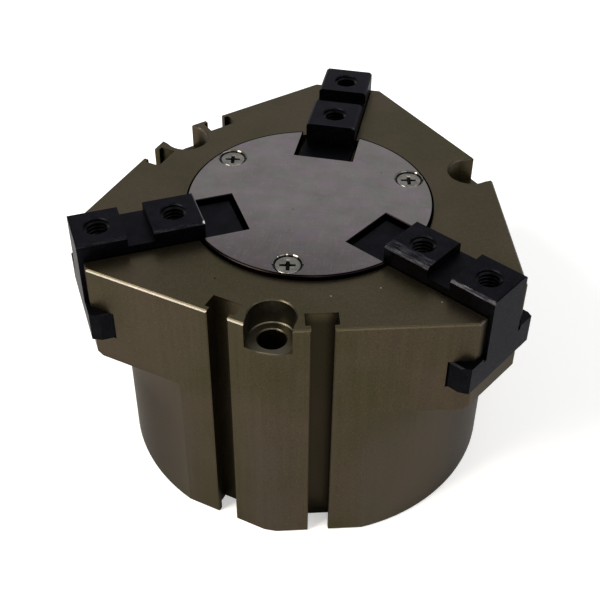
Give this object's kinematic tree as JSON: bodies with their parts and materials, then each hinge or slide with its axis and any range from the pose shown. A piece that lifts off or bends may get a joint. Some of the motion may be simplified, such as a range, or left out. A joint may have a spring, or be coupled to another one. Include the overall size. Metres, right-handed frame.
{
  "type": "pneumatic chuck",
  "caption": "Compact pneumatic chuck with radially sliding T-guided jaws, wedge-hook drive, round body with flats and sensor grooves, and a round cover plate.",
  "frame": {"origin": "centre of the mounting face at the bottom of the body, on the axis of the fixing bolt circle", "axes": "+Z along the chuck's axis from the mounting face towards the jaws; jaw A lies along +Y, jaw B at 210 degrees and jaw C at 330 degrees from +X"},
  "size_m": [0.1136, 0.1071, 0.0747],
  "materials": {
    "housing_anodised": "hard anodised, dull olive brown, machined",
    "cover_steel": "ground steel, brushed",
    "jaw_steel": "hardened steel, black oxide, worn bright at edges",
    "screw_steel": "bright zinc plated",
    "wedge_steel": "hardened steel, ground",
    "piston_aluminium": "machined",
    "piston_screw_steel": "black oxide",
    "seal_rubber": "nitrile rubber",
    "wear_ring_plastic": "filled PTFE, matt",
    "magnet_rubber": "magnetic rubber, matt",
    "bumper_rubber": "urethane rubber",
    "end_cover_aluminium": "clear anodised",
    "ring_steel": "phosphated spring steel"
  },
  "bodies": {
    "housing": {"housing": "housing_anodised", "cover_plate": "cover_steel", "cover_screw_1": "screw_steel", "cover_screw_2": "screw_steel", "cover_screw_3": "screw_steel", "rod_seal": "seal_rubber", "end_cover": "end_cover_aluminium", "end_cover_seal": "seal_rubber", "retaining_ring": "ring_steel"},
    "piston": {"piston": "piston_aluminium", "wedge_hub": "wedge_steel", "piston_screw": "piston_screw_steel", "piston_seal": "seal_rubber", "piston_wear_ring": "wear_ring_plastic", "piston_magnet": "magnet_rubber", "spigot_seal": "seal_rubber", "bumper_lower": "bumper_rubber", "bumper_upper": "bumper_rubber"},
    "jaw_a": {"master_jaw_a": "jaw_steel"},
    "jaw_b": {"master_jaw_b": "jaw_steel"},
    "jaw_c": {"master_jaw_c": "jaw_steel"}
  },
  "joints": [
    {"name": "piston_slide", "type": "slide", "parent": "housing", "child": "piston", "axis": [0, 0, 1], "range_m": [0, 0.00858]},
    {"name": "jaw_a_slide", "type": "slide", "parent": "housing", "child": "jaw_a", "axis": [0, 1, 0], "range_m": [0, 0.004]},
    {"name": "jaw_b_slide", "type": "slide", "parent": "housing", "child": "jaw_b", "axis": [-0.866, -0.5, 0], "range_m": [0, 0.004]},
    {"name": "jaw_c_slide", "type": "slide", "parent": "housing", "child": "jaw_c", "axis": [0.866, -0.5, 0], "range_m": [0, 0.004]}
  ],
  "couplings": [
    {"joint": "jaw_a_slide", "follows": "piston_slide", "ratio": 0.46631},
    {"joint": "jaw_b_slide", "follows": "piston_slide", "ratio": 0.46631},
    {"joint": "jaw_c_slide", "follows": "piston_slide", "ratio": 0.46631}
  ]
}
